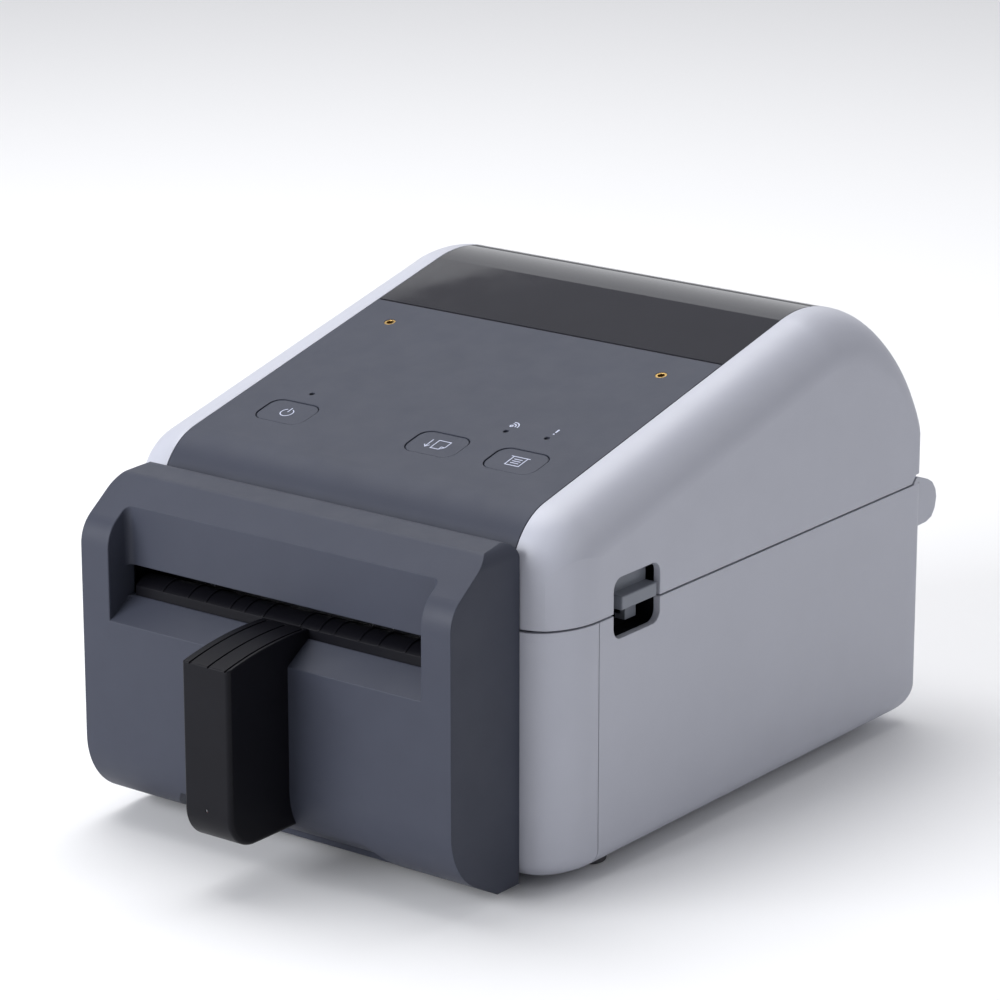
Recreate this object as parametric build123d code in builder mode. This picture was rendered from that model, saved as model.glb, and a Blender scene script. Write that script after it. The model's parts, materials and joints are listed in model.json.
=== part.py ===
"""Desktop label printer with a cutter, built as separate pieces.

Frame: X across the machine, +Y towards the rear, +Z up, millimetres.  Z = 0 is the table under
the feet.  Side views are drawn as (depth, height), where depth counts from the cutter cover's
front face towards the rear; FRONT is that face's Y.
"""
import os
from math import asin, atan2, cos, degrees, hypot, pi, radians, sin, tan

from build123d import *

os.makedirs("parts", exist_ok=True)

# ---- driving dimensions -------------------------------------------------------------------
BODY_W = 180.0          # case width
COVER_W = 151.3         # cutter cover width
PANEL_W = 143.6         # control panel and window width
CASE_FRONT = 35.0       # depth of the case's front wall
CASE_SPLIT = 57.6       # depth of the joint between front piece and lower case
CASE_REAR = 248.2       # depth of the rear wall
HUMP_REAR = 260.5       # depth of the hinge lobes' rearmost point
ARM_REACH = 28.5        # how far the sensor arm stands out in front
FOOT_H = 4.0            # feet under the case
SEAM_Z = 87.1           # joint between lower case and top cover
SEAM_GAP = 0.7
WALL = 2.5
FIT = 0.05              # radial clearance of a running fit
GAP = 0.3               # clearance between moving bodies

FRONT = (ARM_REACH - HUMP_REAR) / 2
HALF_W = BODY_W / 2
CASE_TOP = SEAM_Z - SEAM_GAP / 2
COVER_BOTTOM = SEAM_Z + SEAM_GAP / 2

# Top cover profile: vertical front, round nose, straight slope, round rear, vertical back
NOSE_R = 22.0
NOSE_D, NOSE_Z = 57.5, 102.4
BACK_R = 52.0
BACK_D, BACK_Z = CASE_REAR - BACK_R, 104.4
SLOPE = degrees(atan2(BACK_Z - NOSE_Z, BACK_D - NOSE_D)
                + asin((BACK_R - NOSE_R) / hypot(BACK_D - NOSE_D, BACK_Z - NOSE_Z)))
SIDE_R = 17.0           # broad rounding between slope and side
REAR_R = 3.0            # rounding of the rear vertical edges
INNER_R = 1.5           # least rounding inside the cover's rear corners
CORNER_X, CORNER_D = 16.0, 22.0   # elliptic front corners seen from above
PANEL_END = 150.2       # depth where the control panel meets the window
WINDOW_START = 151.0
WINDOW_END_Z = 112.0    # the window's lower edge on the rear
PANEL_FRONT_Z = 92.0    # the panel's lower edge behind the cutter cover

# Hinge of the top cover
HINGE_D, HINGE_Z = 253.0, 79.0
PIN_R = 2.0

# Label path
LABEL_Z = 81.5          # top of the platen roller, where the label runs
PLATEN_D, PLATEN_R = 50.0, 8.0
PLATEN_Z = LABEL_Z - PLATEN_R
SHAFT_R = 3.0
ROLL_D, ROLL_Z, ROLL_R = 162.0, 84.0, 62.0   # media trough, seen from the side

# Gears
MODULE = 0.8
PLATEN_TEETH, IDLER_TEETH, MOTOR_TEETH = 24, 36, 14
CUTTER_TEETH, GUIDE_TEETH = 15, 12
GEAR_X0, GEAR_X1 = 66.0, 70.0

# Control panel
BUTTON_W, BUTTON_H, BUTTON_R = 20.0, 14.0, 4.4
BUTTON_SPOTS = {"power_button": -47.9, "feed_button": 14.9, "print_button": 46.8}
BUTTON_S = 0.4
LED_SPOTS = [(-48.1, 14.0), (31.2, 16.1), (47.0, 17.0)]
INSERT_SPOTS = [(-56.7, 67.9), (56.7, 67.9)]
INSERT_R, INSERT_BORE, INSERT_LEN = 2.0, 1.25, 5.0
PANEL_REF_D = 71.2      # depth of the panel's reference line, where s = 0
LED_R = 1.0
BOARD_BELOW = 9.0       # the panel board's top face below the panel's surface
BUTTON_TRAVEL = 0.8

# Release latch windows in the sides
LATCH_D0, LATCH_D1 = 65.0, 90.3
LATCH_Z0, LATCH_Z1 = 78.5, 98.9
LATCH_R = 4.0

# Recess around the label exit
RECESS_W = 128.0
SLOT_D, SLOT_Z0, SLOT_Z1 = 10.2, 77.9, 88.4
RECESS_Z0 = 71.4
RECESS_TOP = (9.7, 108.7)
RECESS_R = 2.5          # upright inner corners of the recess
EDGE_R = 0.4            # small rounding of the visible moulded edges


# ---- shared planes and shapes -------------------------------------------------------------
def side_plane(x):
    """Plane across the machine at x; sketches are (depth, height), extruding towards +X."""
    return Plane(origin=(x, FRONT, 0), x_dir=(0, 1, 0), z_dir=(1, 0, 0))


def plan_plane(z):
    """Horizontal plane at height z; sketches are (x, depth)."""
    return Plane(origin=(0, FRONT, z))


def front_plane(depth):
    """Plane facing the front; sketches are (x, height), extruding towards the front."""
    return Plane(origin=(0, FRONT + depth, 0), x_dir=(1, 0, 0), z_dir=(0, -1, 0))


def slope_height(depth):
    """Height of the cover's outer slope at a depth."""
    top_d = BACK_D - BACK_R * sin(radians(SLOPE))
    top_z = BACK_Z + BACK_R * cos(radians(SLOPE))
    return top_z - (top_d - depth) * tan(radians(SLOPE))


def panel_plane(below=0.0):
    """Plane of the sloping control panel; sketches are (x, distance up the slope)."""
    normal = Vector(0, -sin(radians(SLOPE)), cos(radians(SLOPE)))
    origin = Vector(0, FRONT + PANEL_REF_D, slope_height(PANEL_REF_D)) - normal * below
    return Plane(origin=origin, x_dir=(1, 0, 0), z_dir=normal)


def block(x0, x1, d0, d1, z0, z1, mode=Mode.ADD):
    """Box between two x values, two depths and two heights."""
    with Locations(((x0 + x1) / 2, FRONT + (d0 + d1) / 2, (z0 + z1) / 2)):
        Box(x1 - x0, d1 - d0, z1 - z0, mode=mode)


def rod(x0, x1, depth, height, radius, mode=Mode.ADD):
    """Cylinder along X."""
    with BuildSketch(side_plane(x0)) as section:
        with Locations((depth, height)):
            Circle(radius)
    extrude(section.sketch, amount=x1 - x0, mode=mode)


def side_slab(x0, x1, points, mode=Mode.ADD):
    """Prism along X from a closed (depth, height) polygon."""
    with BuildSketch(side_plane(x0)) as section:
        with BuildLine():
            Polyline(*points, close=True)
        make_face()
    extrude(section.sketch, amount=x1 - x0, mode=mode)


def cover_profile(inset):
    """Face of the top cover's side profile, shrunk by inset; drawn in a sketch."""
    nose = NOSE_R - inset
    back = BACK_R - inset
    lean = (-sin(radians(SLOPE)), cos(radians(SLOPE)))
    half_lean = radians(90 + SLOPE) / 2
    nose_mid = (NOSE_D - nose * sin(half_lean), NOSE_Z + nose * cos(half_lean))
    back_mid = (BACK_D + back * cos(half_lean), BACK_Z + back * sin(half_lean))
    nose_low = (NOSE_D - nose, NOSE_Z)
    nose_top = (NOSE_D + nose * lean[0], NOSE_Z + nose * lean[1])
    back_top = (BACK_D + back * lean[0], BACK_Z + back * lean[1])
    back_low = (BACK_D + back, BACK_Z)
    with BuildLine() as outline:
        Line((NOSE_D - nose, COVER_BOTTOM), nose_low)
        ThreePointArc(nose_low, nose_mid, nose_top)
        Line(nose_top, back_top)
        ThreePointArc(back_top, back_mid, back_low)
        Line(back_low, (BACK_D + back, COVER_BOTTOM))
        Line((BACK_D + back, COVER_BOTTOM), (NOSE_D - nose, COVER_BOTTOM))
    make_face(outline.edges())


def case_outline(inset):
    """Face of the case seen from above, with its elliptic front corners, shrunk by inset."""
    side = HALF_W - inset
    front = CASE_FRONT + inset
    rear = CASE_REAR - inset
    corner_x = CORNER_X - inset
    corner_d = CORNER_D - inset
    turn_d = front + corner_d
    with BuildLine() as outline:
        Line((side - corner_x, front), (corner_x - side, front))
        EllipticalCenterArc((corner_x - side, turn_d), corner_x, corner_d, 180, arc_size=90)
        Line((-side, turn_d), (-side, rear))
        Line((-side, rear), (side, rear))
        Line((side, rear), (side, turn_d))
        EllipticalCenterArc((side - corner_x, turn_d), corner_x, corner_d, 270, arc_size=90)
    make_face(outline.edges())


def rear_corner(angle):
    """Radius of the cover's edge rounding at an angle above the rear horizontal."""
    share = min(angle / 60.0, 1.0)
    return REAR_R + (SIDE_R - REAR_R) * sin(radians(90 * share))


def cover_solid(inset):
    """The whole top cover as one block, shrunk by inset."""
    half = HALF_W - inset
    nose = NOSE_R - inset
    back = BACK_R - inset
    edge = SIDE_R - inset
    lean = (-sin(radians(SLOPE)), cos(radians(SLOPE)))
    half_lean = radians(90 + SLOPE) / 2
    nose_mid = (NOSE_D - nose * sin(half_lean), NOSE_Z + nose * cos(half_lean))
    nose_low = (NOSE_D - nose, NOSE_Z)
    nose_top = (NOSE_D + nose * lean[0], NOSE_Z + nose * lean[1])
    back_top = (BACK_D + back * lean[0], BACK_Z + back * lean[1])
    with BuildPart() as solid:
        with BuildSketch(side_plane(-half)):
            with BuildLine():
                Line((NOSE_D - nose, COVER_BOTTOM), nose_low)
                ThreePointArc(nose_low, nose_mid, nose_top)
                Line(nose_top, back_top)
                Polyline(back_top, (BACK_D, BACK_Z), (BACK_D, COVER_BOTTOM), (NOSE_D - nose, COVER_BOTTOM))
            make_face()
        extrude(amount=2 * half)
        rim = [e for e in solid.edges() if abs(abs(e.center().X) - half) < 0.01]
        skin = [e for e in rim if e.center().Z > COVER_BOTTOM + 1 and e.center().Y - FRONT < BACK_D - 10]
        fillet(skin, radius=edge)
        steps = 9
        start = 90 + SLOPE
        for step in range(steps):
            angle = start * (1 - step / (steps - 1))
            tilt = radians(angle)
            spoke = Plane(origin=(0, FRONT + BACK_D, BACK_Z), x_dir=(1, 0, 0), z_dir=(0, -sin(tilt), cos(tilt)))
            with BuildSketch(spoke) as section:
                core = 8.0 - 2 * inset
                with Locations((0, (core + back) / 2)):
                    Rectangle(2 * half, back - core)
                fillet(section.vertices().group_by(Axis.Y)[-1], radius=max(rear_corner(angle) - inset, INNER_R))
        loft()
        with BuildSketch(plan_plane(COVER_BOTTOM)) as low:
            with Locations((0, BACK_D + back / 2)):
                Rectangle(2 * half, back)
            fillet(low.vertices().group_by(Axis.Y)[-1], radius=max(REAR_R - inset, INNER_R))
        extrude(amount=BACK_Z - COVER_BOTTOM)
        rod(-half, half, BACK_D, BACK_Z, 9.0)
        with BuildSketch(plan_plane(COVER_BOTTOM - 1)):
            case_outline(inset)
        extrude(amount=100, mode=Mode.INTERSECT)
    return solid.part


def skin_band(x0, x1, inset, thickness):
    """Layer of the cover's flat profile between two x values, as a solid."""
    with BuildPart() as band:
        with BuildSketch(side_plane(x0)):
            cover_profile(inset)
        extrude(amount=x1 - x0)
        with BuildSketch(side_plane(x0 - 1)):
            cover_profile(inset + thickness)
        extrude(amount=x1 - x0 + 2, mode=Mode.SUBTRACT)
        block(x0 - 1, x1 + 1, 0, 300, COVER_BOTTOM - 1, COVER_BOTTOM + 0.01, mode=Mode.SUBTRACT)
    return band.part


def gear_outline(teeth, phase):
    """Face of a spur gear with flat-topped teeth; phase is one tooth's angle in degrees."""
    pitch = 360 / teeth
    tip = MODULE * (teeth / 2 + 0.8)
    root = MODULE * (teeth / 2 - 1.1)
    points = []
    for tooth in range(teeth):
        middle = phase + tooth * pitch
        for radius, share in ((root, -0.31), (tip, -0.11), (tip, 0.11), (root, 0.31)):
            angle = radians(middle + share * pitch)
            points.append((radius * cos(angle), radius * sin(angle)))
    with BuildLine() as outline:
        Polyline(*points, close=True)
    make_face(outline.edges())


def gear(x0, x1, depth, height, teeth, phase):
    """Spur gear along X."""
    plane = Plane(origin=(x0, FRONT + depth, height), x_dir=(0, 1, 0), z_dir=(1, 0, 0))
    with BuildSketch(plane) as section:
        gear_outline(teeth, phase)
    extrude(section.sketch, amount=x1 - x0)


def mesh_phase(phase, teeth, mate_teeth, line_angle):
    """Tooth angle of a mating gear that lies in the direction line_angle from the first."""
    shift = MODULE * teeth / 2 * radians(phase - line_angle)
    mate_shift = (shift + pi * MODULE / 2) / (MODULE * mate_teeth / 2)
    return line_angle + 180 - degrees(mate_shift)


# ---- lower case ---------------------------------------------------------------------------
BOTTOM_R = 7.0
HEEL_R = 17.0
LOBE_X0, LOBE_X1 = 74.0, 88.4
KNUCKLE_X0, KNUCKLE_X1 = 60.0, 73.6
FOOT_SPOTS = [(-77.0, 71.0), (77.0, 71.0), (-62.0, 226.0), (62.0, 226.0)]
SCREW_SPOTS = [(x, d) for x in (-72.0, 72.0) for d in (108.0, 222.0)]
SCREW_R, HEAD_R = 1.5, 3.0


def case_tub(inset):
    """Side profile of the lower case with its rounded heel, as a prism."""
    low = FOOT_H + inset
    rear = CASE_REAR - inset
    top = CASE_TOP + (5 if inset else 0)
    with BuildSketch(side_plane(inset - HALF_W)) as tub:
        with BuildLine():
            Polyline((CASE_SPLIT - inset, low), (rear, low), (rear, top), (CASE_SPLIT - inset, top), close=True)
        make_face()
        fillet(tub.vertices().sort_by_distance((rear, low))[0], radius=HEEL_R - inset)
    extrude(tub.sketch, amount=2 * (HALF_W - inset))
    with BuildSketch(front_plane(0)) as girth:
        with Locations((0, (low + top) / 2)):
            Rectangle(2 * (HALF_W - inset), top - low)
        fillet(girth.vertices().group_by(Axis.Y)[0], radius=BOTTOM_R - inset)
    extrude(girth.sketch, amount=-300, mode=Mode.INTERSECT)
    with BuildSketch(plan_plane(0)) as outline:
        with Locations((0, rear / 2)):
            Rectangle(2 * (HALF_W - inset), rear)
        fillet(outline.vertices().group_by(Axis.Y)[-1], radius=max(REAR_R - inset, 0.5))
    extrude(outline.sketch, amount=200, mode=Mode.INTERSECT)


LOBE_OUTLINE = [(243.0, 80.0), (243.0, 87.2), (244.8, 89.2), (248.5, 88.2), (254.5, 86.0), (257.6, 84.2),
                (259.8, 81.2), (HUMP_REAR, 78.2), (259.6, 74.2), (257.6, 71.6), (254.0, 70.5), (246.5, 70.3)]

with BuildPart() as case_cavity:
    case_tub(WALL)

with BuildPart() as lower_case:
    case_tub(0)
    add(case_cavity.part, mode=Mode.SUBTRACT)
    for x, depth in SCREW_SPOTS:
        with BuildSketch(plan_plane(FOOT_H + WALL - 0.5)):
            with Locations((x, depth)):
                Circle(4.5)
        extrude(amount=14)
    block(-KNUCKLE_X1 - 0.9, -KNUCKLE_X0 + 0.9, 243, 250, 69.5, 95, mode=Mode.SUBTRACT)
    block(KNUCKLE_X0 - 0.9, KNUCKLE_X1 + 0.9, 243, 250, 69.5, 95, mode=Mode.SUBTRACT)
    side_slab(LOBE_X0, LOBE_X1, LOBE_OUTLINE)
    side_slab(-LOBE_X1, -LOBE_X0, LOBE_OUTLINE)
    riser = [(242.4, 84.0), (242.4, 86.6), (244.8, 89.2), (245.7, 89.0), (245.7, 84.0)]
    side_slab(LOBE_X0, HALF_W - 0.05, riser)
    side_slab(0.05 - HALF_W, -LOBE_X0, riser)
    rod(LOBE_X0 - 1, LOBE_X1 - 2, HINGE_D, HINGE_Z, PIN_R, mode=Mode.SUBTRACT)
    rod(2 - LOBE_X1, 1 - LOBE_X0, HINGE_D, HINGE_Z, PIN_R, mode=Mode.SUBTRACT)
    with BuildSketch(side_plane(-100)) as finger_window:
        with Locations(((LATCH_D0 + LATCH_D1) / 2, (LATCH_Z0 + LATCH_Z1) / 2)):
            RectangleRounded(LATCH_D1 - LATCH_D0, LATCH_Z1 - LATCH_Z0, LATCH_R)
    extrude(amount=200, mode=Mode.SUBTRACT)
    for x, depth in SCREW_SPOTS:
        with Locations(Location((x, FRONT + depth, FOOT_H), (180, 0, 0))):
            CounterBoreHole(SCREW_R, HEAD_R + 0.3, 2.4, 18)
    # rear wall: power inlet, three data sockets, serial port, fan-fold label slot
    with BuildSketch(front_plane(CASE_REAR + 1)):
        with Locations((-66, 22)):
            Circle(4.2)
        with Locations((-44, 21)):
            Rectangle(12.6, 11.4)
        with Locations((-20, 20)):
            Rectangle(14.0, 6.6)
        with Locations((8, 22)):
            Rectangle(16.4, 14.0)
        with Locations((47, 22)):
            RectangleRounded(34.0, 12.6, 2.0)
        with Locations((0, 62)):
            RectangleRounded(116.0, 6.0, 2.0)
    extrude(amount=WALL + 4, mode=Mode.SUBTRACT)
    # cooling slots under the board
    with BuildSketch(plan_plane(FOOT_H - 1)):
        with Locations((0, 165)):
            with GridLocations(9, 26, 9, 2):
                SlotOverall(20, 3, rotation=90)
    extrude(amount=WALL + 2, mode=Mode.SUBTRACT)
lower_case.part.label = "lower_case"
export_step(lower_case.part, "parts/lower_case.step")

with BuildPart() as front_lower_panel:
    with BuildSketch(plan_plane(FOOT_H)):
        case_outline(0)
    extrude(amount=CASE_TOP - FOOT_H)
    block(-100, 100, CASE_SPLIT - 0.35, 300, 0, 100, mode=Mode.SUBTRACT)
    underside = front_lower_panel.faces().sort_by(Axis.Z)[0]
    rounded = [e for e in underside.edges() if e.center().Y < FRONT + CASE_SPLIT - 1]
    fillet(rounded, radius=BOTTOM_R)
    with BuildSketch(plan_plane(FOOT_H + WALL)):
        case_outline(WALL)
    extrude(amount=CASE_TOP, mode=Mode.SUBTRACT)
    block(-66, 66, CASE_FRONT - 1, CASE_FRONT + WALL + 1, 70, 90, mode=Mode.SUBTRACT)
front_lower_panel.part.label = "front_lower_panel"
export_step(front_lower_panel.part, "parts/front_lower_panel.step")

with BuildPart() as rubber_feet:
    for x, depth in FOOT_SPOTS:
        with BuildSketch(plan_plane(0)):
            with Locations((x, depth)):
                Circle(5.5)
        extrude(amount=FOOT_H)
    fillet(rubber_feet.edges().group_by(Axis.Z)[0], radius=1.2)
rubber_feet.part.label = "rubber_feet"
export_step(rubber_feet.part, "parts/rubber_feet.step")

with BuildPart() as base_screws:
    for x, depth in SCREW_SPOTS:
        with BuildSketch(plan_plane(FOOT_H + 0.4)):
            with Locations((x, depth)):
                Circle(HEAD_R)
        extrude(amount=1.9)
        with BuildSketch(plan_plane(FOOT_H + 2.3)):
            with Locations((x, depth)):
                Circle(SCREW_R - 0.05)
        extrude(amount=13)
        with BuildSketch(plan_plane(FOOT_H + 0.4)):
            with Locations((x, depth)):
                Rectangle(3.2, 0.7)
                Rectangle(0.7, 3.2)
        extrude(amount=0.9, mode=Mode.SUBTRACT)
base_screws.part.label = "base_screws"
export_step(base_screws.part, "parts/base_screws.step")

with BuildPart() as hinge_pins:
    rod(KNUCKLE_X0 - 1.5, LOBE_X1 - 2, HINGE_D, HINGE_Z, PIN_R)
    rod(2 - LOBE_X1, 1.5 - KNUCKLE_X0, HINGE_D, HINGE_Z, PIN_R)
hinge_pins.part.label = "hinge_pins"
export_step(hinge_pins.part, "parts/hinge_pins.step")

POCKET_X = 79.0
with BuildPart() as latch_pockets:
    block(POCKET_X - 1.5, HALF_W - WALL - 0.1, 61, 94, 72, 86)
    block(POCKET_X, HALF_W, LATCH_D0 - 1.5, LATCH_D1 + 1.2, LATCH_Z0 - 1.2, 90, mode=Mode.SUBTRACT)
    mirror(about=Plane.YZ)
latch_pockets.part.label = "latch_pockets"
export_step(latch_pockets.part, "parts/latch_pockets.step")

# ---- cutter cover, sensor arm and cutter --------------------------------------------------
COVER_OUTLINE = [(0, 15.2), (26.8, 1.2), (34.9, 1.2), (34.9, 117.1), (19.6, 115.8), (0, 101.3)]
COVER_RADII = [24.0, 4.0, 2.0, 5.5, 3.0, 12.0]
NOTCH_HALF, NOTCH_TOP = 38.4, 16.6


def bezel_profile(section, inset):
    """Side profile of the cutter cover, shrunk by inset; drawn in the sketch named section."""
    with BuildLine() as outline:
        Polyline(*COVER_OUTLINE, close=True)
    make_face(outline.edges())
    for corner, radius in zip(COVER_OUTLINE, COVER_RADII):
        fillet(section.vertices().sort_by_distance(corner)[0], radius=radius)
    if inset:
        offset(amount=-inset, mode=Mode.REPLACE)


def bezel_prism(half, inset, mode=Mode.ADD):
    """Cutter cover profile drawn out to both sides of the middle."""
    with BuildSketch(side_plane(-half)) as section:
        bezel_profile(section, inset)
    extrude(section.sketch, amount=2 * half, mode=mode)


COVER_WALL = 2.2
with BuildPart() as notch_pocket:
    with BuildSketch(front_plane(-1)):
        with BuildLine():
            Polyline((-NOTCH_HALF, NOTCH_TOP), (NOTCH_HALF, NOTCH_TOP), (NOTCH_HALF + 15, 0),
                     (-NOTCH_HALF - 15, 0), close=True)
        make_face()
    extrude(amount=-25)
    bezel_prism(60, 2.0, mode=Mode.SUBTRACT)

with BuildPart() as notch_backing:
    bezel_prism(50, 1.0)
    bezel_prism(52, 2 * COVER_WALL, mode=Mode.SUBTRACT)
    block(-60, 60, 0, 26.5, 22, 120, mode=Mode.SUBTRACT)
    block(-60, 60, 26.5, 40, 0, 120, mode=Mode.SUBTRACT)

with BuildPart() as recess_backing:
    with BuildSketch(side_plane(-RECESS_W / 2 - COVER_WALL)) as behind:
        bezel_profile(behind, 0.5)
        with Locations((0, 89.5)):
            Rectangle(2 * (SLOT_D + COVER_WALL), 43, mode=Mode.INTERSECT)
    extrude(amount=RECESS_W + 2 * COVER_WALL)

with BuildPart() as recess_space:
    side_slab(-RECESS_W / 2, RECESS_W / 2,
              [(SLOT_D, SLOT_Z0), (0, RECESS_Z0), (-4, RECESS_Z0 - 2), (-4, 118), (8.9, 118), RECESS_TOP,
               (SLOT_D, SLOT_Z1)])
    corners = [e for e in recess_space.edges() if abs(e.center().X) > RECESS_W / 2 - 0.01
               and e.center().Y > FRONT + 9 and e.center().Z > SLOT_Z0 + 1]
    fillet(corners, radius=RECESS_R)
    block(-RECESS_W / 2, RECESS_W / 2, SLOT_D - RECESS_R - 0.1, SLOT_D + 5, SLOT_Z0, SLOT_Z1)

with BuildPart() as cutter_cover:
    bezel_prism(COVER_W / 2, 0)
    with BuildSketch(front_plane(-1)) as face:
        with Locations((0, 60)):
            Rectangle(COVER_W, 114.2)
        fillet(face.vertices().group_by(Axis.Y)[-1], radius=6.0)
    extrude(amount=-40, mode=Mode.INTERSECT)
    bezel_prism(COVER_W / 2 - COVER_WALL - 0.3, COVER_WALL, mode=Mode.SUBTRACT)
    block(COVER_WALL + 0.3 - COVER_W / 2, COVER_W / 2 - COVER_WALL - 0.3, 30, 36, 6, 110, mode=Mode.SUBTRACT)
    add(notch_backing.part)
    add(notch_pocket.part, mode=Mode.SUBTRACT)
    add(recess_backing.part)
    add(recess_space.part, mode=Mode.SUBTRACT)
    mouth = [e for e in cutter_cover.edges() if abs(e.center().X) < RECESS_W / 2 + 0.01
             and e.center().Z > RECESS_Z0 - 1]
    rim = [e for e in mouth if e.center().Y < FRONT + 0.1
           or (e.center().Z > 100 and e.center().Y < FRONT + RECESS_TOP[0] + 0.1)]
    fillet(rim, radius=EDGE_R)
cutter_cover.part.label = "cutter_cover"
export_step(cutter_cover.part, "parts/cutter_cover.step")

ARM_X0, ARM_X1 = -8.0, 10.9
ARM_GROOVES = (-4.9, 2.6, 9.6)
with BuildPart() as sensor_arm:
    with BuildSketch(side_plane(ARM_X0)) as arm:
        with BuildLine():
            arm_top = ThreePointArc((-ARM_REACH, 77.6), (-8.0, 80.9), (10.4, 81.2))
            Polyline(arm_top @ 1, (10.4, 78.1), (0.0, 71.5), (-0.06, 71.4), (-0.06, 29.7))
            heel = ThreePointArc((-0.06, 29.7), (0.89, 23.0), (3.56, 17.0))
            Polyline(heel @ 1, (-ARM_REACH, 17.0), arm_top @ 0)
        make_face()
        fillet(arm.vertices().sort_by_distance((-ARM_REACH, 17.0))[0], radius=12.0)
    extrude(amount=ARM_X1 - ARM_X0)
    front_edges = sensor_arm.edges().filter_by(Axis.Z).sort_by(Axis.Y)[0:2].sort_by(Axis.X)
    fillet(front_edges[0], radius=0.8)
    fillet(front_edges[1], radius=1.6)
    top_rim = [e for e in sensor_arm.faces().sort_by(Axis.Z)[-1].edges() if e.center().Y < FRONT + 10]
    fillet(top_rim, radius=0.6)
    for groove_x in ARM_GROOVES:
        with BuildSketch(side_plane(groove_x - 0.35)):
            with BuildLine():
                low = ThreePointArc((-ARM_REACH - 1, 76.8), (-8.0, 80.4), (9.0, 80.7))
                high = Polyline(low @ 1, (9.0, 84.0), (-ARM_REACH - 1, 84.0), low @ 0)
            make_face()
        extrude(amount=0.7, mode=Mode.SUBTRACT)
    with BuildSketch(front_plane(-ARM_REACH - 1)):
        with Locations((0.8, 29.5)):
            Circle(0.5)
    extrude(amount=-3, mode=Mode.SUBTRACT)
sensor_arm.part.label = "sensor_arm"
export_step(sensor_arm.part, "parts/sensor_arm.step")

with BuildPart() as sensor_lens:
    with BuildSketch(front_plane(-ARM_REACH + 0.2)):
        with Locations((0.8, 29.5)):
            Circle(0.45)
    extrude(amount=-1.6)
sensor_lens.part.label = "sensor_lens"
export_step(sensor_lens.part, "parts/sensor_lens.step")

GUIDE_X0, GUIDE_X1 = -61.9, 61.9
GUIDE_D0, GUIDE_D1 = 10.6, 24.0
RIB_MIDDLE = -0.55
RIB_REACH = [7.7, 15.4, 21.4, 31.6, 39.2, 49.9]   # ribs stand in pairs about the middle
RIB_H = 0.35


def guide_profile(raise_by):
    """Side profile of the crowned exit guide, its top raised by a height, drawn in a sketch."""
    with BuildLine() as outline:
        crown = ThreePointArc((GUIDE_D0 + 0.3, 81.4 + raise_by), (14.0, 83.1 + raise_by),
                              (18.5, 83.5 + raise_by))
        Polyline(crown @ 1, (GUIDE_D1, 81.2 + raise_by), (GUIDE_D1, 74.5), (14.9, 74.5),
                 (14.9, SLOT_Z0), (GUIDE_D0, SLOT_Z0), (GUIDE_D0, 81.1 + raise_by), crown @ 0)
    make_face(outline.edges())


with BuildPart() as exit_guide:
    with BuildSketch(side_plane(GUIDE_X0)):
        guide_profile(0)
    extrude(amount=GUIDE_X1 - GUIDE_X0)
    for rib_x in [RIB_MIDDLE + side * reach for reach in RIB_REACH for side in (-1, 1)]:
        with BuildSketch(side_plane(rib_x - 0.35)):
            guide_profile(RIB_H)
        extrude(amount=0.7)
exit_guide.part.label = "exit_guide"
export_step(exit_guide.part, "parts/exit_guide.step")

with BuildPart() as cutter_frame:
    block(-71, 71, 31.2, 32.7, 8, 106)
    block(-62, 62, 30, 34, 78, 88.5, mode=Mode.SUBTRACT)
    block(-71, -69.5, 16, 31.2, 20, 106)
    block(69.5, 71, 16, 31.2, 20, 106)
    with BuildSketch(front_plane(33)):
        with Locations((-50, 40), (50, 40), (-50, 20), (50, 20)):
            Circle(3)
    extrude(amount=3, mode=Mode.SUBTRACT)
cutter_frame.part.label = "cutter_frame"
export_step(cutter_frame.part, "parts/cutter_frame.step")

with BuildPart() as fixed_blade:
    side_slab(-61, 61, [(29.0, 60), (31.2, 60), (31.2, 80.2), (30.4, 80.2), (29.0, 78.8)])
fixed_blade.part.label = "fixed_blade"
export_step(fixed_blade.part, "parts/fixed_blade.step")

RACK_D = 24.0
CUTTER_Z = 56.0
CUTTER_PITCH_R = MODULE * CUTTER_TEETH / 2
with BuildPart() as moving_blade:
    side_slab(-60, 60, [(26.9, 103), (28.4, 103), (28.4, 88.8), (26.9, 90.2)])
    block(60, 67.6, 26.9, 28.4, 92, 103)
    block(63.0, 67.6, RACK_D + 1.0, 28.4, 46, 103)
    rack_pitch = pi * MODULE
    for tooth in range(-3, 8):
        middle = CUTTER_Z + (tooth + 0.5) * rack_pitch
        side_slab(63.0, 67.6, [(RACK_D + 1.1, middle - 0.31 * rack_pitch),
                               (RACK_D - 0.8 * MODULE, middle - 0.11 * rack_pitch),
                               (RACK_D - 0.8 * MODULE, middle + 0.11 * rack_pitch),
                               (RACK_D + 1.1, middle + 0.31 * rack_pitch)])
moving_blade.part.label = "moving_blade"
export_step(moving_blade.part, "parts/moving_blade.step")

CUTTER_D = RACK_D - CUTTER_PITCH_R
with BuildPart() as cutter_motor:
    rod(16, 58, CUTTER_D, CUTTER_Z, 8.5)
    rod(58, 60, CUTTER_D, CUTTER_Z, 4)
    rod(50, 61, CUTTER_D, CUTTER_Z, 1.5 + FIT, mode=Mode.SUBTRACT)
    block(20, 54, CUTTER_D, 31.2, 46.5, 49.0)
cutter_motor.part.label = "cutter_motor"
export_step(cutter_motor.part, "parts/cutter_motor.step")

with BuildPart() as cutter_pinion:
    rod(52, 68.2, CUTTER_D, CUTTER_Z, 1.5)
    gear(62.6, 68.0, CUTTER_D, CUTTER_Z, CUTTER_TEETH, 0)
cutter_pinion.part.label = "cutter_pinion"
export_step(cutter_pinion.part, "parts/cutter_pinion.step")

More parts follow.
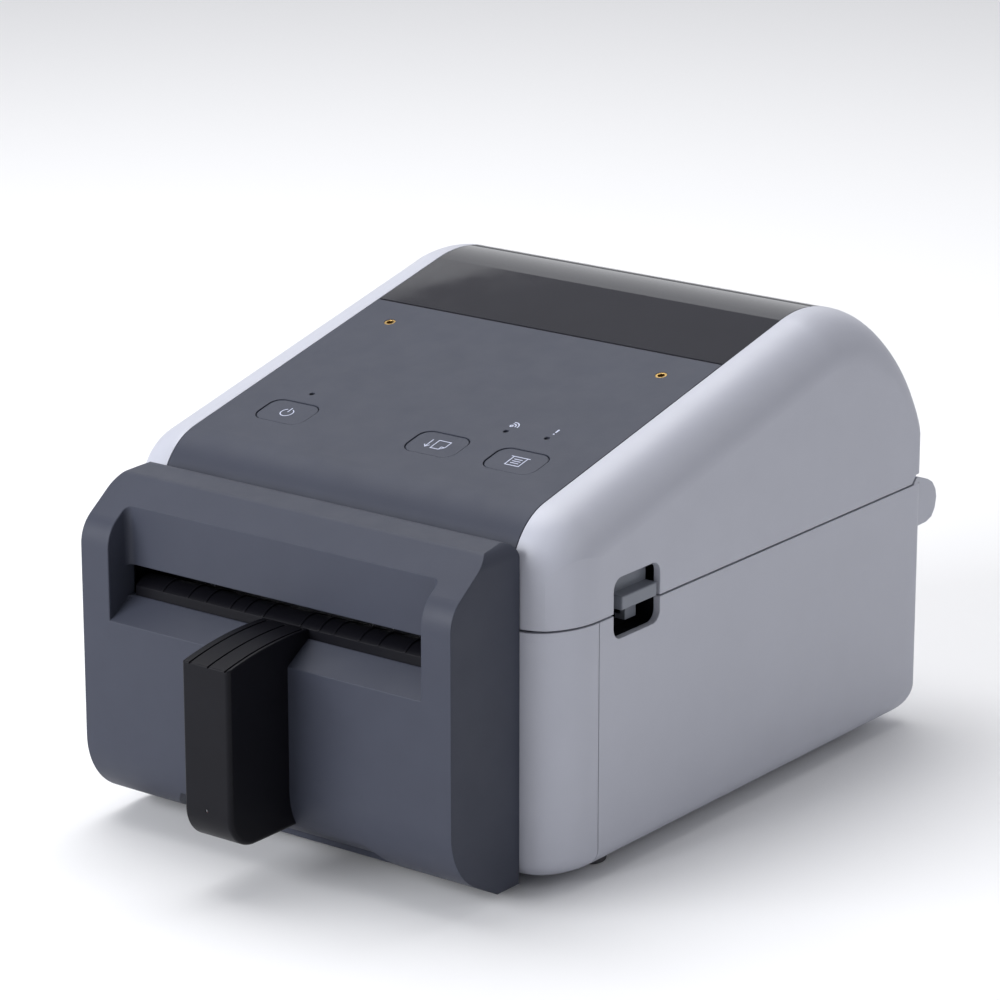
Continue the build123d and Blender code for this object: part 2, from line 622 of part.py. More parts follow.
# ---- chassis and label drive --------------------------------------------------------------
PLATE_X0, PLATE_X1 = 62.0, 64.5
IDLER_ANGLE, MOTOR_ANGLE = -50.0, -70.0
IDLER_GAP = MODULE * (PLATEN_TEETH + IDLER_TEETH) / 2 + 0.15
MOTOR_GAP = MODULE * (IDLER_TEETH + MOTOR_TEETH) / 2 + 0.15
IDLER_D = PLATEN_D + IDLER_GAP * cos(radians(IDLER_ANGLE))
IDLER_Z = PLATEN_Z + IDLER_GAP * sin(radians(IDLER_ANGLE))
MOTOR_D = IDLER_D + MOTOR_GAP * cos(radians(MOTOR_ANGLE))
MOTOR_Z = IDLER_Z + MOTOR_GAP * sin(radians(MOTOR_ANGLE))
IDLER_PHASE = mesh_phase(0, PLATEN_TEETH, IDLER_TEETH, IDLER_ANGLE)
MOTOR_PHASE = mesh_phase(IDLER_PHASE, IDLER_TEETH, MOTOR_TEETH, MOTOR_ANGLE)
BUSH_R = 6.0
RACK_GAP = MODULE * GUIDE_TEETH / 2
SIDE_PLATE = [(42, 6.6), (228, 6.6), (228, 84), (57, 84), (44, 78), (42, 70)]

with BuildPart() as chassis:
    side_slab(PLATE_X0, PLATE_X1, SIDE_PLATE)
    side_slab(-PLATE_X1, -PLATE_X0, SIDE_PLATE)
    with BuildSketch(side_plane(-PLATE_X0)):
        with Locations((ROLL_D, ROLL_Z)):
            Circle(ROLL_R + 2)
            Circle(ROLL_R, mode=Mode.SUBTRACT)
        with Locations((ROLL_D, 40)):
            Rectangle(150, 76, mode=Mode.INTERSECT)
    extrude(amount=2 * PLATE_X0)
    block(-PLATE_X0, PLATE_X0, 61, 100, 76, 78)
    block(-PLATE_X0, PLATE_X0, 61, 63, 62, 76)
    rod(-PLATE_X1, PLATE_X1, PLATEN_D, PLATEN_Z, BUSH_R, mode=Mode.SUBTRACT)
    rod(PLATE_X0 - 1, PLATE_X1 + 1, MOTOR_D, MOTOR_Z, 4, mode=Mode.SUBTRACT)
    rod(PLATE_X0 - 1, PLATE_X1 + 1, IDLER_D, IDLER_Z, 2.5, mode=Mode.SUBTRACT)
    block(-7, 7, 72, 82, 75, 79, mode=Mode.SUBTRACT)
    block(17, 59.5, ROLL_D - 9.5, ROLL_D - 5, 15, 26, mode=Mode.SUBTRACT)
    block(-59.5, -17, ROLL_D + 5, ROLL_D + 9.5, 15, 26, mode=Mode.SUBTRACT)
    with BuildSketch(side_plane(-70)):
        with Locations((88, 30), (110, 20), (205, 25)):
            Circle(6)
    extrude(amount=140, mode=Mode.SUBTRACT)
chassis.part.label = "chassis"
export_step(chassis.part, "parts/chassis.step")

with BuildPart() as platen_bushes:
    rod(PLATE_X0, PLATE_X1, PLATEN_D, PLATEN_Z, BUSH_R)
    rod(PLATE_X0 - 1, PLATE_X0, PLATEN_D, PLATEN_Z, BUSH_R + 1)
    rod(PLATE_X0 - 2, PLATE_X1 + 1, PLATEN_D, PLATEN_Z, SHAFT_R + FIT, mode=Mode.SUBTRACT)
    mirror(about=Plane.YZ)
platen_bushes.part.label = "platen_bushes"
export_step(platen_bushes.part, "parts/platen_bushes.step")

with BuildPart() as platen_shaft:
    rod(-67, GEAR_X1 + 0.5, PLATEN_D, PLATEN_Z, SHAFT_R)
platen_shaft.part.label = "platen_shaft"
export_step(platen_shaft.part, "parts/platen_shaft.step")

with BuildPart() as platen_roller:
    rod(-58, 58, PLATEN_D, PLATEN_Z, PLATEN_R)
    rod(-59, 59, PLATEN_D, PLATEN_Z, SHAFT_R, mode=Mode.SUBTRACT)
platen_roller.part.label = "platen_roller"
export_step(platen_roller.part, "parts/platen_roller.step")

with BuildPart() as platen_gear:
    gear(GEAR_X0, GEAR_X1, PLATEN_D, PLATEN_Z, PLATEN_TEETH, 0)
    rod(GEAR_X0 - 1, GEAR_X1 + 1, PLATEN_D, PLATEN_Z, SHAFT_R, mode=Mode.SUBTRACT)
platen_gear.part.label = "platen_gear"
export_step(platen_gear.part, "parts/platen_gear.step")

with BuildPart() as idler_pin:
    rod(PLATE_X0, GEAR_X1 + 0.8, IDLER_D, IDLER_Z, 2.5)
    rod(GEAR_X1 + 0.8, GEAR_X1 + 1.6, IDLER_D, IDLER_Z, 3.6)
idler_pin.part.label = "idler_pin"
export_step(idler_pin.part, "parts/idler_pin.step")

with BuildPart() as idler_gear:
    gear(GEAR_X0, GEAR_X1, IDLER_D, IDLER_Z, IDLER_TEETH, IDLER_PHASE)
    rod(GEAR_X0 - 1, GEAR_X1 + 1, IDLER_D, IDLER_Z, 2.5 + FIT, mode=Mode.SUBTRACT)
    with BuildSketch(Plane(origin=(GEAR_X0 - 1, FRONT + IDLER_D, IDLER_Z), x_dir=(0, 1, 0), z_dir=(1, 0, 0))):
        with PolarLocations(8.0, 5):
            Circle(2.4)
    extrude(amount=GEAR_X1 - GEAR_X0 + 2, mode=Mode.SUBTRACT)
idler_gear.part.label = "idler_gear"
export_step(idler_gear.part, "parts/idler_gear.step")

with BuildPart() as feed_motor:
    with BuildSketch(side_plane(30)):
        with Locations((MOTOR_D, MOTOR_Z)):
            RectangleRounded(32, 32, 5)
    extrude(amount=PLATE_X0 - 30)
    rod(PLATE_X0 - 12, PLATE_X0 + 1, MOTOR_D, MOTOR_Z, 2 + FIT, mode=Mode.SUBTRACT)
feed_motor.part.label = "feed_motor"
export_step(feed_motor.part, "parts/feed_motor.step")

with BuildPart() as motor_pinion:
    rod(PLATE_X0 - 10, GEAR_X1 + 0.5, MOTOR_D, MOTOR_Z, 2)
    gear(GEAR_X0, GEAR_X1, MOTOR_D, MOTOR_Z, MOTOR_TEETH, MOTOR_PHASE)
motor_pinion.part.label = "motor_pinion"
export_step(motor_pinion.part, "parts/motor_pinion.step")

with BuildPart() as gap_sensor:
    block(-6.8, 6.8, 72.2, 81.8, 70, 78.4)
    block(-2, 2, 75, 79, 78, 79, mode=Mode.SUBTRACT)
gap_sensor.part.label = "gap_sensor"
export_step(gap_sensor.part, "parts/gap_sensor.step")


# ---- media guides: two racks on one pinion under the trough -------------------------------
def media_guide(side):
    """Upright guide plate with its foot and rack; side is +1 right, -1 left."""
    rack_pitch = pi * MODULE
    pitch_d = ROLL_D - side * RACK_GAP
    with BuildPart() as guide:
        with BuildSketch(side_plane(side * 57.5 - 1.25)):
            with Locations((ROLL_D, ROLL_Z - 6)):
                Circle(52)
            with Locations((ROLL_D, 38)):
                Rectangle(120, 72, mode=Mode.INTERSECT)
            with Locations((ROLL_D, ROLL_Z)):
                Circle(19, mode=Mode.SUBTRACT)
        extrude(amount=2.5)
        foot_d = ROLL_D - side * 7.4
        block(side * 57.5 - 1.25, side * 57.5 + 1.25, foot_d - 1.6, foot_d + 1.6, 15.2, 30)
        back_d = pitch_d - side * 3.9
        root_d = pitch_d - side * 0.9
        ends = sorted((side * -6, side * 58.7))
        block(ends[0], ends[1], min(back_d, root_d), max(back_d, root_d), 15.2, 18.2)
        for tooth in range(-1, 17):
            middle = side * (tooth + 0.5) * rack_pitch
            tip_d = pitch_d + side * 0.8 * MODULE
            base_d = root_d - side * 0.1
            with BuildSketch(plan_plane(15.2)):
                with BuildLine():
                    Polyline((middle - 0.31 * rack_pitch, base_d), (middle - 0.11 * rack_pitch, tip_d),
                             (middle + 0.11 * rack_pitch, tip_d), (middle + 0.31 * rack_pitch, base_d), close=True)
                make_face()
            extrude(amount=3.0)
    return guide.part


right_guide = media_guide(1)
right_guide.label = "right_media_guide"
export_step(right_guide, "parts/right_media_guide.step")

left_guide = media_guide(-1)
left_guide.label = "left_media_guide"
export_step(left_guide, "parts/left_media_guide.step")

with BuildPart() as guide_pinion:
    with BuildSketch(Plane(origin=(0, FRONT + ROLL_D, 15.2))):
        gear_outline(GUIDE_TEETH, 0)
    extrude(amount=3.0)
    with BuildSketch(plan_plane(15)):
        with Locations((0, ROLL_D)):
            Circle(1.5 + FIT)
    extrude(amount=5, mode=Mode.SUBTRACT)
guide_pinion.part.label = "guide_pinion"
export_step(guide_pinion.part, "parts/guide_pinion.step")

with BuildPart() as pinion_stud:
    with BuildSketch(plan_plane(15.2)):
        with Locations((0, ROLL_D)):
            Circle(1.5)
    extrude(amount=4.8)
    with BuildSketch(plan_plane(14.2)):
        with Locations((0, ROLL_D)):
            Circle(2.6)
    extrude(amount=0.9)
    with BuildSketch(plan_plane(14.9)):
        with Locations((0, ROLL_D)):
            Circle(1.5)
    extrude(amount=0.6)
pinion_stud.part.label = "pinion_stud"
export_step(pinion_stud.part, "parts/pinion_stud.step")

# ---- electronics --------------------------------------------------------------------------
BOARD_Z = 8.6
with BuildPart() as main_board:
    block(-58, 58, 128, 236, BOARD_Z, BOARD_Z + 1.6)
    for x, depth, wide, deep, high in ((-34, 185, 14, 14, 1.6), (-8, 190, 22, 10, 1.2), (30, 178, 12, 12, 1.4),
                                       (46, 215, 8, 8, 5), (-50, 205, 6, 12, 4), (20, 215, 16, 5, 3)):
        block(x - wide / 2, x + wide / 2, depth - deep / 2, depth + deep / 2, BOARD_Z + 1.6, BOARD_Z + 1.6 + high)
    with BuildSketch(plan_plane(BOARD_Z - 1)):
        with Locations((-54, 132), (54, 132), (-54, 226), (54, 226)):
            Circle(1.6)
    extrude(amount=4, mode=Mode.SUBTRACT)
main_board.part.label = "main_board"
export_step(main_board.part, "parts/main_board.step")

PORT_REAR = CASE_REAR - 0.6
with BuildPart() as power_inlet:
    block(-71.5, -60.5, 232, CASE_REAR - WALL - 2.4, 14, 28)
    with BuildSketch(front_plane(PORT_REAR)):
        with Locations((-66, 22)):
            Circle(4.0)
    extrude(amount=6)
    with BuildSketch(front_plane(PORT_REAR + 1)):
        with Locations((-66, 22)):
            Circle(2.75)
            Circle(1.0, mode=Mode.SUBTRACT)
    extrude(amount=11, mode=Mode.SUBTRACT)
    with BuildSketch(front_plane(PORT_REAR + 1)):
        with Locations((-66, 22)):
            Circle(1.05)
    extrude(amount=2, mode=Mode.SUBTRACT)
power_inlet.part.label = "power_inlet"
export_step(power_inlet.part, "parts/power_inlet.step")

with BuildPart() as usb_device_port:
    block(-50.0, -38.0, 231, PORT_REAR, 15.6, 26.4)
    with BuildSketch(front_plane(PORT_REAR + 1)):
        with Locations((-44, 21)):
            Rectangle(8.6, 7.9)
            Rectangle(5.6, 3.2, mode=Mode.SUBTRACT)
    extrude(amount=10, mode=Mode.SUBTRACT)
    block(-47, -41, PORT_REAR - 1.2, PORT_REAR + 1, 19.0, 23.0, mode=Mode.SUBTRACT)
usb_device_port.part.label = "usb_device_port"
export_step(usb_device_port.part, "parts/usb_device_port.step")

with BuildPart() as usb_host_port:
    block(-26.7, -13.3, 233, PORT_REAR, 16.8, 23.2)
    block(-26.2, -13.8, PORT_REAR - 9, PORT_REAR + 1, 17.3, 22.7, mode=Mode.SUBTRACT)
    block(-25.4, -14.6, PORT_REAR - 9.5, PORT_REAR - 1, 17.8, 19.3)
usb_host_port.part.label = "usb_host_port"
export_step(usb_host_port.part, "parts/usb_host_port.step")

with BuildPart() as network_port:
    block(0.2, 15.8, 231, PORT_REAR, 15.4, 28.6)
    block(2.1, 13.9, PORT_REAR - 12, PORT_REAR + 1, 17.2, 25.0, mode=Mode.SUBTRACT)
    block(5.0, 11.0, PORT_REAR - 12, PORT_REAR + 1, 24.9, 27.4, mode=Mode.SUBTRACT)
network_port.part.label = "network_port"
export_step(network_port.part, "parts/network_port.step")

with BuildPart() as serial_port:
    with BuildSketch(front_plane(CASE_REAR - WALL - 0.1)):
        with Locations((47, 22)):
            Rectangle(31, 12.4)
    extrude(amount=9)
    with BuildSketch(front_plane(CASE_REAR + 2.2)):
        with Locations((47, 22)):
            Trapezoid(18.2, 8.6, 80, rotation=180)
            Trapezoid(17.0, 7.4, 80, rotation=180, mode=Mode.SUBTRACT)
    extrude(amount=4.9)
    with BuildSketch(front_plane(CASE_REAR + 1.2)):
        with Locations(*[(47 + 2.77 * (pin - 2), 23.4) for pin in range(5)]):
            Circle(0.5)
        with Locations(*[(47 + 2.77 * (pin - 1.5), 20.6) for pin in range(4)]):
            Circle(0.5)
    extrude(amount=4.5)
    with BuildSketch(front_plane(CASE_REAR + 1.4)):
        with Locations((34.5, 22), (59.5, 22)):
            RegularPolygon(2.4, 6)
    extrude(amount=4.3)
serial_port.part.label = "serial_port"
export_step(serial_port.part, "parts/serial_port.step")

# ---- top cover ----------------------------------------------------------------------------
OPENING_HALF = PANEL_W / 2 + 0.3
FLANGE_X = 66.0
panel_region = [(20, PANEL_FRONT_Z - 0.3), (200, PANEL_FRONT_Z - 0.3), (200, WINDOW_END_Z), (270, WINDOW_END_Z),
                (270, 180), (20, 180)]

cover_block = cover_solid(0)
cover_void = cover_solid(WALL)

with BuildPart() as side_flanges:
    add(skin_band(FLANGE_X, 74.5, WALL, 2.0))
    add(skin_band(OPENING_HALF, 74.5, WALL - 0.8, 2.8))
    mirror(about=Plane.YZ)

with BuildPart() as sill_root:
    add(skin_band(-FLANGE_X, FLANGE_X, WALL - 0.8, 2.8))
    block(-80, 80, 200, 270, WINDOW_END_Z - 1, 200, mode=Mode.SUBTRACT)

with BuildPart() as rear_sill:
    add(skin_band(-FLANGE_X, FLANGE_X, WALL, 2.0))
    add(sill_root.part)
    block(-80, 80, 0, 215, 0, 200, mode=Mode.SUBTRACT)
    block(-80, 80, 200, 270, 0, WINDOW_END_Z - 4, mode=Mode.SUBTRACT)
    block(-80, 80, 200, 270, WINDOW_END_Z + 4, 200, mode=Mode.SUBTRACT)

KNUCKLE = [(246.0, 97.0), (248.0, 97.0), (257.4, 85.0), (259.6, 82.0), (260.1, 78.4), (258.8, 75.0), (255.6, 72.6),
           (251.6, 72.4), (248.8, 74.2), (247.2, 77.0), (246.8, 80.0), (246.0, 88.0)]

with BuildPart() as top_cover:
    add(cover_block)
    add(cover_void, mode=Mode.SUBTRACT)
    side_slab(-OPENING_HALF, OPENING_HALF, panel_region, mode=Mode.SUBTRACT)
    add(side_flanges.part)
    add(rear_sill.part)
    notch = [(241.4, 80), (241.4, 87.4), (244.2, 90.3), (252, 90.3), (252, 80)]
    side_slab(LOBE_X0 - 0.7, 95, notch, mode=Mode.SUBTRACT)
    side_slab(-95, 0.7 - LOBE_X0, notch, mode=Mode.SUBTRACT)
    side_slab(KNUCKLE_X0, KNUCKLE_X1, KNUCKLE)
    side_slab(-KNUCKLE_X1, -KNUCKLE_X0, KNUCKLE)
    rod(KNUCKLE_X0 - 2, KNUCKLE_X1 + 0.2, HINGE_D, HINGE_Z, PIN_R + FIT, mode=Mode.SUBTRACT)
    rod(-KNUCKLE_X1 - 0.2, 2 - KNUCKLE_X0, HINGE_D, HINGE_Z, PIN_R + FIT, mode=Mode.SUBTRACT)
    with BuildSketch(side_plane(-100)):
        with Locations(((LATCH_D0 + LATCH_D1) / 2, (LATCH_Z0 + LATCH_Z1) / 2)):
            RectangleRounded(LATCH_D1 - LATCH_D0, LATCH_Z1 - LATCH_Z0, LATCH_R)
    extrude(amount=200, mode=Mode.SUBTRACT)
top_cover.part.label = "top_cover"
export_step(top_cover.part, "parts/top_cover.step")

PANEL_T = WALL - 0.1
POST_X, POST_D = 50.0, 58.0
HEAD_TOP = 99.5         # top of the print head's bracket
PANEL_AXIS = Axis((0, 0, 0), panel_plane().z_dir)
panel_band = skin_band(-PANEL_W / 2, PANEL_W / 2, 0, PANEL_T)

with BuildPart() as under_lip:
    add(skin_band(0.5 - FLANGE_X, FLANGE_X - 0.5, PANEL_T, 1.6))
    block(-80, 80, 0, PANEL_END - 4, 0, 200, mode=Mode.SUBTRACT)
    block(-80, 80, PANEL_END + 4, 300, 0, 200, mode=Mode.SUBTRACT)

with BuildPart() as control_panel:
    add(panel_band)
    block(-100, 100, PANEL_END, 300, 0, 200, mode=Mode.SUBTRACT)
    block(-100, 100, 0, 300, 0, PANEL_FRONT_Z, mode=Mode.SUBTRACT)
    add(under_lip.part)
    with BuildSketch(plan_plane(HEAD_TOP)):
        with Locations((-POST_X, POST_D), (POST_X, POST_D)):
            Circle(3.5)
    extrude(amount=slope_height(POST_D) - HEAD_TOP - 1.6)
    for x, s in INSERT_SPOTS:
        with BuildSketch(panel_plane(PANEL_T)):
            with Locations((x, s)):
                Circle(INSERT_R + 1.6)
        extrude(amount=-3.2)
    with BuildSketch(panel_plane(-1)):
        with Locations(*[(x, BUTTON_S) for x in BUTTON_SPOTS.values()]):
            RectangleRounded(BUTTON_W + 2 * GAP, BUTTON_H + 2 * GAP, BUTTON_R + GAP)
        with Locations(*LED_SPOTS):
            Circle(LED_R)
        with Locations(*INSERT_SPOTS):
            Circle(INSERT_R)
    extrude(amount=-1 - PANEL_T - 3.3, mode=Mode.SUBTRACT)
control_panel.part.label = "control_panel"
export_step(control_panel.part, "parts/control_panel.step")

with BuildPart() as window:
    add(panel_band)
    block(-100, 100, 0, WINDOW_START, 0, 200, mode=Mode.SUBTRACT)
    block(-100, 100, 200, 300, 0, WINDOW_END_Z + GAP, mode=Mode.SUBTRACT)
window.part.label = "window"
export_step(window.part, "parts/window.step")

with BuildPart() as thread_inserts:
    with BuildSketch(panel_plane(0.1)):
        with Locations(*INSERT_SPOTS):
            Circle(INSERT_R)
            Circle(INSERT_BORE, mode=Mode.SUBTRACT)
    extrude(amount=-INSERT_LEN)
thread_inserts.part.label = "thread_inserts"
export_step(thread_inserts.part, "parts/thread_inserts.step")

with BuildPart() as status_leds:
    with BuildSketch(panel_plane(0.7)):
        with Locations(*LED_SPOTS):
            Circle(LED_R - FIT)
    extrude(amount=1.2 - BOARD_BELOW)
status_leds.part.label = "status_leds"
export_step(status_leds.part, "parts/status_leds.step")

with BuildPart() as panel_board:
    with BuildSketch(panel_plane(BOARD_BELOW)):
        with Locations((0, 7.5)):
            Rectangle(118, 31)
    extrude(amount=-1.6)
panel_board.part.label = "panel_board"
export_step(panel_board.part, "parts/panel_board.step")

with BuildPart() as tact_switches:
    with BuildSketch(panel_plane(BOARD_BELOW)):
        with Locations(*[(x, BUTTON_S) for x in BUTTON_SPOTS.values()]):
            RectangleRounded(6, 6, 0.6)
    extrude(amount=1.8)
    with BuildSketch(panel_plane(BOARD_BELOW - 1.8)):
        with Locations(*[(x, BUTTON_S) for x in BUTTON_SPOTS.values()]):
            Circle(1.7)
    extrude(amount=0.8)
tact_switches.part.label = "tact_switches"
export_step(tact_switches.part, "parts/tact_switches.step")


def push_button(x):
    """Button cap with a retaining rim below the panel and a stem over its switch."""
    rim_top = PANEL_T + GAP
    stem_end = BOARD_BELOW - 2.6 - BUTTON_TRAVEL - GAP
    with BuildPart() as button:
        with BuildSketch(panel_plane(0.15)):
            with Locations((x, BUTTON_S)):
                RectangleRounded(BUTTON_W, BUTTON_H, BUTTON_R)
        extrude(amount=0.15 - rim_top)
        fillet(button.faces().sort_by(PANEL_AXIS)[-1].edges(), radius=0.35)
        with BuildSketch(panel_plane(rim_top)):
            with Locations((x, BUTTON_S)):
                RectangleRounded(BUTTON_W + 3, BUTTON_H + 3, BUTTON_R + 1.5)
        extrude(amount=-0.9)
        with BuildSketch(panel_plane(rim_top + 0.9)):
            with Locations((x, BUTTON_S)):
                Circle(2.2)
        extrude(amount=rim_top + 0.9 - stem_end)
    return button.part


for name, spot in BUTTON_SPOTS.items():
    button_cap = push_button(spot)
    button_cap.label = name
    export_step(button_cap, f"parts/{name}.step")

# ---- print head in the cover --------------------------------------------------------------
HEAD_HALF = 56.0
HEAD_LOW = LABEL_Z + 0.4
SINK_LOW, SINK_HIGH = 85.5, 90.0
SPRING_X, SPRING_D = 44.0, 51.0
BRACKET_LOW = HEAD_TOP - 1.5

with BuildPart() as print_head:
    side_slab(-HEAD_HALF, HEAD_HALF, [(44, 83.2), (47, HEAD_LOW), (53, HEAD_LOW), (57, 83.8), (57, SINK_LOW),
                                      (44, SINK_LOW)])
print_head.part.label = "print_head"
export_step(print_head.part, "parts/print_head.step")

with BuildPart() as heatsink:
    block(-HEAD_HALF, HEAD_HALF, 43, 59, SINK_LOW, SINK_HIGH)
    for fin in range(6):
        block(-34, 34, 43.5 + fin * 2.9, 44.5 + fin * 2.9, SINK_HIGH, SINK_HIGH + 3)
heatsink.part.label = "heatsink"
export_step(heatsink.part, "parts/heatsink.step")

with BuildPart() as head_bracket:
    block(-60, 60, 41, 66, BRACKET_LOW, HEAD_TOP)
    block(58.5, 60, 41, 62, 84.5, HEAD_TOP)
    block(-60, -58.5, 41, 62, 84.5, HEAD_TOP)
    block(-30, 30, 47, 56, BRACKET_LOW - 1, HEAD_TOP + 1, mode=Mode.SUBTRACT)
head_bracket.part.label = "head_bracket"
export_step(head_bracket.part, "parts/head_bracket.step")

with BuildPart() as head_springs:
    for x in (-SPRING_X, SPRING_X):
        start = (x, FRONT + SPRING_D, SINK_HIGH + 0.45)
        coil = Helix(pitch=1.6, height=BRACKET_LOW - SINK_HIGH - 0.9, radius=2.6, center=start)
        with BuildSketch(Plane(origin=coil @ 0, z_dir=coil % 0)) as wire:
            Circle(0.4)
        sweep(wire.sketch, path=coil)
head_springs.part.label = "head_springs"
export_step(head_springs.part, "parts/head_springs.step")

# ---- release latches ----------------------------------------------------------------------
LATCH_PIVOT_X, LATCH_PIVOT_Z = 84.5, 102.5
LATCH_PIN_R = 1.0
LEVER_D0, LEVER_D1 = 66.2, 89.2


def cross_rod(d0, d1, x, height, radius, mode=Mode.ADD):
    """Cylinder from front to rear."""
    with BuildSketch(front_plane(d0)) as section:
        with Locations((x, height)):
            Circle(radius)
    extrude(section.sketch, amount=d0 - d1, mode=mode)


with BuildPart() as latch_housings:
    block(80.0, 81.3, 61.4, 93.9, 88.2, 106)
    block(81.3, 87.3, 61.4, 63.2, 98, 106)
    block(81.3, 87.3, 92.1, 93.9, 98, 106)
    cross_rod(60, 96, LATCH_PIVOT_X, LATCH_PIVOT_Z, LATCH_PIN_R, mode=Mode.SUBTRACT)
    mirror(about=Plane.YZ)
latch_housings.part.label = "latch_housings"
export_step(latch_housings.part, "parts/latch_housings.step")

with BuildPart() as latch_pins:
    cross_rod(61.4, 93.9, LATCH_PIVOT_X, LATCH_PIVOT_Z, LATCH_PIN_R)
    mirror(about=Plane.YZ)
latch_pins.part.label = "latch_pins"
export_step(latch_pins.part, "parts/latch_pins.step")

with BuildPart() as right_latch:
    block(83.6, 85.0, LEVER_D0, LEVER_D1, 87.2, 102)
    cross_rod(64.0, 91.3, LATCH_PIVOT_X, LATCH_PIVOT_Z, 2.3)
    cross_rod(60.0, 95.0, LATCH_PIVOT_X, LATCH_PIVOT_Z, LATCH_PIN_R + FIT, mode=Mode.SUBTRACT)
    block(83.6, 89.6, 70.3, LEVER_D1, 87.2, 91.8)
    grip = [e for e in right_latch.edges() if e.center().X > 89.5]
    fillet(grip, radius=0.5)
    block(81.8, 83.6, 80.0, 86.0, 80.3, 91)
    block(79.7, 81.8, 80.0, 86.0, 80.3, 82)
right_latch.part.label = "right_latch"
export_step(right_latch.part, "parts/right_latch.step")

left_latch = mirror(right_latch.part, about=Plane.YZ)
left_latch.label = "left_latch"
export_step(left_latch, "parts/left_latch.step")
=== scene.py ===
"""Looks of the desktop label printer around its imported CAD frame: materials, printed icons,
socket contacts, camera, soft studio light and a pale floor."""
import json
import math

import bmesh
import bpy
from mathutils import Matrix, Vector


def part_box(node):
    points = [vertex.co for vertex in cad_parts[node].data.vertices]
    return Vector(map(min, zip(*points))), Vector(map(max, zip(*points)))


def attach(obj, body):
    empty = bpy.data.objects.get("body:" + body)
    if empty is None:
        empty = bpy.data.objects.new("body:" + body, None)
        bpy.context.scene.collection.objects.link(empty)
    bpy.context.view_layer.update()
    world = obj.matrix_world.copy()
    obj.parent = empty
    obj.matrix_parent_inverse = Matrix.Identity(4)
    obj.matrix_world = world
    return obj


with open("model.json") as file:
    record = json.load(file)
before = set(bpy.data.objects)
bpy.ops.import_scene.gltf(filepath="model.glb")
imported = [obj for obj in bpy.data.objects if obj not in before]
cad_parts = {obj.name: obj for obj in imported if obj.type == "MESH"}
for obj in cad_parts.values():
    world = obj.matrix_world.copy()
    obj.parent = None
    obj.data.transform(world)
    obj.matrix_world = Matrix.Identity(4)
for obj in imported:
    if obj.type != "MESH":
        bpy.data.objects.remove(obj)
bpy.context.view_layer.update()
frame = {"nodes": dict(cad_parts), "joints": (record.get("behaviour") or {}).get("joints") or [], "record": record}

MM = 0.001
NODES = frame["nodes"]
MOUNTS = {m["name"]: m for m in frame["record"]["mounts"]}
JOINTS = {j["name"]: j for j in frame["joints"]}


# ---- materials ----------------------------------------------------------------------------
def shader(name):
    """New material with its node tree, and its principled shader."""
    mat = bpy.data.materials.new(name)
    mat.use_nodes = True
    bsdf = mat.node_tree.nodes["Principled BSDF"]
    return mat, mat.node_tree, bsdf


def node(tree, kind, **sockets):
    """New node with its inputs set by name."""
    new = tree.nodes.new(kind)
    for key, value in sockets.items():
        new.inputs[key].default_value = value
    return new


NOISE_LOW, NOISE_HIGH = 0.3, 0.7      # the part of a noise's range that its colours and gloss use


def object_noise(tree, scale, detail=2.0, stretch=(1.0, 1.0, 1.0)):
    """Noise in object space; scale is in features per metre."""
    place = tree.nodes.new("ShaderNodeTexCoord")
    mapping = tree.nodes.new("ShaderNodeMapping")
    mapping.inputs["Scale"].default_value = stretch
    noise = node(tree, "ShaderNodeTexNoise", Scale=scale, Detail=detail, Roughness=0.55)
    tree.links.new(place.outputs["Object"], mapping.inputs["Vector"])
    tree.links.new(mapping.outputs["Vector"], noise.inputs["Vector"])
    return noise


def shade(color, factor):
    """Colour made lighter or darker, as RGBA."""
    return tuple(min(channel * factor, 1.0) for channel in color) + (1.0,)


def vary_color(tree, bsdf, color, scale, spread, stretch=(1.0, 1.0, 1.0)):
    """Base colour that drifts a little around its mean."""
    noise = object_noise(tree, scale, detail=3.0, stretch=stretch)
    ramp = tree.nodes.new("ShaderNodeValToRGB")
    ramp.color_ramp.elements[0].position = NOISE_LOW
    ramp.color_ramp.elements[1].position = NOISE_HIGH
    ramp.color_ramp.elements[0].color = shade(color, 1 - spread)
    ramp.color_ramp.elements[1].color = shade(color, 1 + spread)
    tree.links.new(noise.outputs["Fac"], ramp.inputs["Fac"])
    tree.links.new(ramp.outputs["Color"], bsdf.inputs["Base Color"])


def vary_roughness(tree, bsdf, low, high, scale):
    """Roughness that drifts between two values."""
    noise = object_noise(tree, scale)
    spread = node(tree, "ShaderNodeMapRange")
    spread.inputs["From Min"].default_value = NOISE_LOW
    spread.inputs["From Max"].default_value = NOISE_HIGH
    spread.inputs["To Min"].default_value = low
    spread.inputs["To Max"].default_value = high
    tree.links.new(noise.outputs["Fac"], spread.inputs["Value"])
    tree.links.new(spread.outputs["Result"], bsdf.inputs["Roughness"])


def add_grain(tree, bsdf, size, depth, edge, stretch=(1.0, 1.0, 1.0)):
    """Moulded grain of a feature size and depth, over edges rounded by a small radius, in metres."""
    noise = object_noise(tree, 1 / size, stretch=stretch)
    bump = node(tree, "ShaderNodeBump", Strength=1.0, Distance=depth)
    tree.links.new(noise.outputs["Fac"], bump.inputs["Height"])
    if edge:
        rounded = tree.nodes.new("ShaderNodeBevel")
        rounded.samples = 6
        rounded.inputs["Radius"].default_value = edge
        tree.links.new(rounded.outputs["Normal"], bump.inputs["Normal"])
    tree.links.new(bump.outputs["Normal"], bsdf.inputs["Normal"])


ACRYLIC_IOR = 1.49      # also near enough for the opaque plastics


